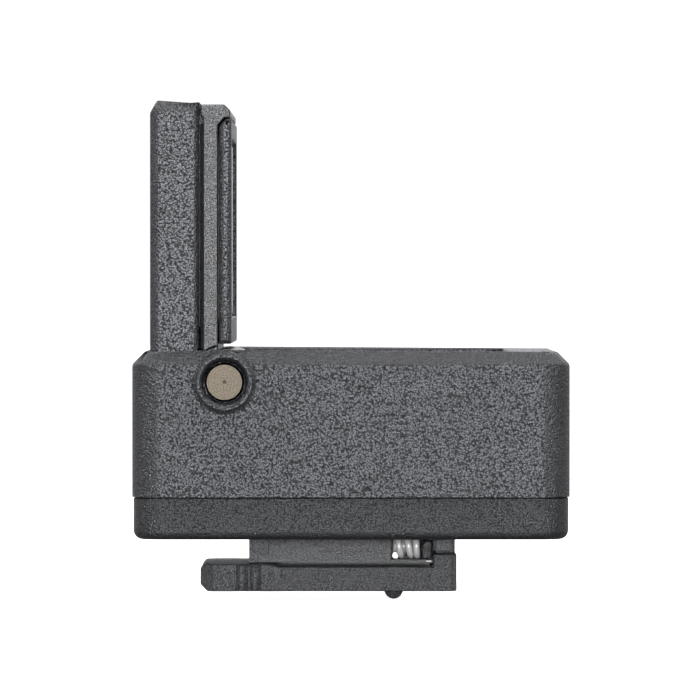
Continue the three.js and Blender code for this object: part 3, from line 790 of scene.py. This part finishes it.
def add_slot_stop():
    """The wall across the neck's slot ahead of the slider, which keeps light from showing through.

    It has a sill that reaches below the slider's front, and a block ahead of the slider.
    """
    slider_low, slider_high = box_mm("clip_slider")
    pin_low, _ = box_mm("clip_pin")
    half_width = 2.0
    sill_reach = 0.43
    slider_gap = 0.02
    under_gap = 0.04
    rise = 0.1
    floor = 2.36
    front = pin_low.x - 0.35
    under = slider_low.z - under_gap
    bm = bmesh.new()
    add_box(bm, (slider_high.x - sill_reach, -half_width, floor), (front, half_width, under))
    ahead = slider_high.x + slider_gap
    add_box(bm, (ahead, -half_width, under), (front, half_width, slider_high.z + rise))
    add_piece("slot_stop", bm, "foot", NODES["foot_neck"]["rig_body"])


def build_pieces():
    softened("upper_shell", "shell", 0.16, where=outside_of_body)
    softened("lower_shell", "tray", 0.14, where=outside_of_body)
    for node, (look, radius) in SOFT_EDGED.items():
        softened(node, look, radius)
    for end, sign in (("near", -1), ("far", 1)):
        add_hinge_pin(f"hinge_pin_{end}", sign)
        add_friction_washer(f"friction_washer_{end}", sign)
        add_clip_spring(f"clip_spring_{end}")
    for row in ("rear", "front"):
        for side in ("near", "far"):
            add_screw(f"shell_screw_{row}_{side}", upwards=True)
    for number in (1, 2):
        add_screw(f"foot_screw_{number}", upwards=False)
    add_groove_rib()
    add_slot_stop()
    add_led_array()
    add_board_parts()
    add_usb_contacts()
    add_mode_button()


# ---------- stage, light and camera ----------


def set_camera():
    """A long lens level with the hinge, looking square at the near side."""
    place = Vector((-0.08, -821.0, 26.71)) * MM
    target = Vector((-0.08, -21.0, 20.5)) * MM
    data = bpy.data.cameras.new("camera")
    data.lens = 493.7
    data.sensor_width = 36.0
    camera = bpy.data.objects.new("camera", data)
    camera.location = place
    camera.rotation_euler = (target - place).to_track_quat("-Z", "Y").to_euler()
    bpy.context.scene.collection.objects.link(camera)
    bpy.context.scene.camera = camera


def set_world():
    """White to the camera; for the object bright behind, dimmer above and beside it, dark elsewhere."""
    world = bpy.data.worlds.new("studio")
    world.use_nodes = True
    bpy.context.scene.world = world
    nodes = world.node_tree.nodes
    links = world.node_tree.links
    nodes.clear()

    def sum_of(operation, first, second=0.0):
        made = nodes.new("ShaderNodeMath")
        made.operation = operation
        for socket, value in zip(made.inputs, (first, second)):
            if isinstance(value, bpy.types.NodeSocket):
                links.new(value, socket)
            else:
                socket.default_value = value
        return made.outputs[0]

    direction = nodes.new("ShaderNodeTexCoord")
    split = nodes.new("ShaderNodeSeparateXYZ")
    links.new(direction.outputs["Generated"], split.inputs[0])
    side_falloff = 3.0
    towards_side = sum_of("POWER", sum_of("ABSOLUTE", split.outputs[0]), side_falloff)
    sideways = sum_of("MULTIPLY", towards_side, WORLD_SIDES)
    behind = sum_of("MULTIPLY", sum_of("MAXIMUM", split.outputs[1], 0.0), WORLD_BEHIND)
    upwards = sum_of("MULTIPLY", sum_of("MAXIMUM", split.outputs[2], 0.0), WORLD_ABOVE)
    total = sum_of("ADD", sum_of("ADD", sideways, behind), sum_of("ADD", upwards, WORLD_BASE))
    darkest_at = -0.35
    full_from = 0.1
    share_below = 0.12
    below = nodes.new("ShaderNodeMapRange")
    links.new(split.outputs[2], below.inputs["Value"])
    below.inputs["From Min"].default_value = darkest_at
    below.inputs["From Max"].default_value = full_from
    below.inputs["To Min"].default_value = share_below
    below.inputs["To Max"].default_value = 1.0
    strength = sum_of("MULTIPLY", total, below.outputs[0])
    lit = nodes.new("ShaderNodeBackground")
    links.new(strength, lit.inputs["Strength"])
    lit.inputs["Color"].default_value = (0.97, 0.98, 1.0, 1.0)
    plain = nodes.new("ShaderNodeBackground")
    plain.inputs["Color"].default_value = (1.0, 1.0, 1.0, 1.0)
    plain.inputs["Strength"].default_value = 1.05
    path = nodes.new("ShaderNodeLightPath")
    mix = nodes.new("ShaderNodeMixShader")
    links.new(path.outputs["Is Camera Ray"], mix.inputs["Fac"])
    links.new(lit.outputs[0], mix.inputs[1])
    links.new(plain.outputs[0], mix.inputs[2])
    output = nodes.new("ShaderNodeOutputWorld")
    links.new(mix.outputs[0], output.inputs["Surface"])


def add_floor():
    """A pale plain floor just under the foot: near white to the camera, with a trace of shadow."""
    low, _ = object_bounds()
    reach = 3.0
    level = low[2] - 0.02 * MM
    corners = [(-reach, -reach), (reach, -reach), (reach, reach), (-reach, reach)]
    bm = bmesh.new()
    bm.faces.new([bm.verts.new((x, y, level)) for x, y in corners])
    mesh = bpy.data.meshes.new("floor")
    bm.to_mesh(mesh)
    bm.free()
    material = bpy.data.materials.new("pale_floor")
    material.use_nodes = True
    nodes = material.node_tree.nodes
    links = material.node_tree.links
    surface = nodes["Principled BSDF"]
    surface.inputs["Base Color"].default_value = (0.86, 0.86, 0.86, 1.0)
    surface.inputs["Roughness"].default_value = 0.9
    surface.inputs["Specular IOR Level"].default_value = 0.0
    glow = nodes.new("ShaderNodeEmission")
    glow.inputs["Strength"].default_value = FLOOR_GLOW
    path = nodes.new("ShaderNodeLightPath")
    faint = nodes.new("ShaderNodeBsdfDiffuse")
    faint.inputs["Color"].default_value = (0.16, 0.16, 0.16, 1.0)
    seen = nodes.new("ShaderNodeAddShader")
    links.new(glow.outputs[0], seen.inputs[0])
    links.new(surface.outputs[0], seen.inputs[1])
    mix = nodes.new("ShaderNodeMixShader")
    links.new(path.outputs["Is Camera Ray"], mix.inputs["Fac"])
    links.new(faint.outputs[0], mix.inputs[1])
    links.new(seen.outputs[0], mix.inputs[2])
    links.new(mix.outputs[0], nodes["Material Output"].inputs["Surface"])
    mesh.materials.append(material)
    floor = bpy.data.objects.new("floor", mesh)
    bpy.context.scene.collection.objects.link(floor)


def add_area(name, place, size, power):
    """A soft rectangular light aimed at the object, unseen by the camera itself."""
    data = bpy.data.lights.new(name, "AREA")
    data.shape = "RECTANGLE"
    data.size, data.size_y = size
    data.energy = power
    light = bpy.data.objects.new(name, data)
    light.location = place
    light.visible_camera = False
    middle = Vector((0, 0, 0.02))
    light.rotation_euler = (middle - Vector(place)).to_track_quat("-Z", "Y").to_euler()
    bpy.context.scene.collection.objects.link(light)


def set_lights():
    add_area("top_softbox", (0, -0.10, 0.60), (0.50, 0.40), TOP_POWER)
    add_area("key_softbox", (-0.10, -0.62, 0.60), (0.22, 0.16), KEY_POWER)
    add_area("front_softbox", (0.05, -0.95, 0.12), (0.24, 0.20), FRONT_POWER)
    add_area("low_front_strip", (0.0, -0.70, 0.025), (0.34, 0.045), LOW_POWER)


bpy.context.scene.view_settings.view_transform = "Standard"
bpy.context.scene.view_settings.look = "None"
set_camera()
build_pieces()
set_world()
add_floor()
set_lights()
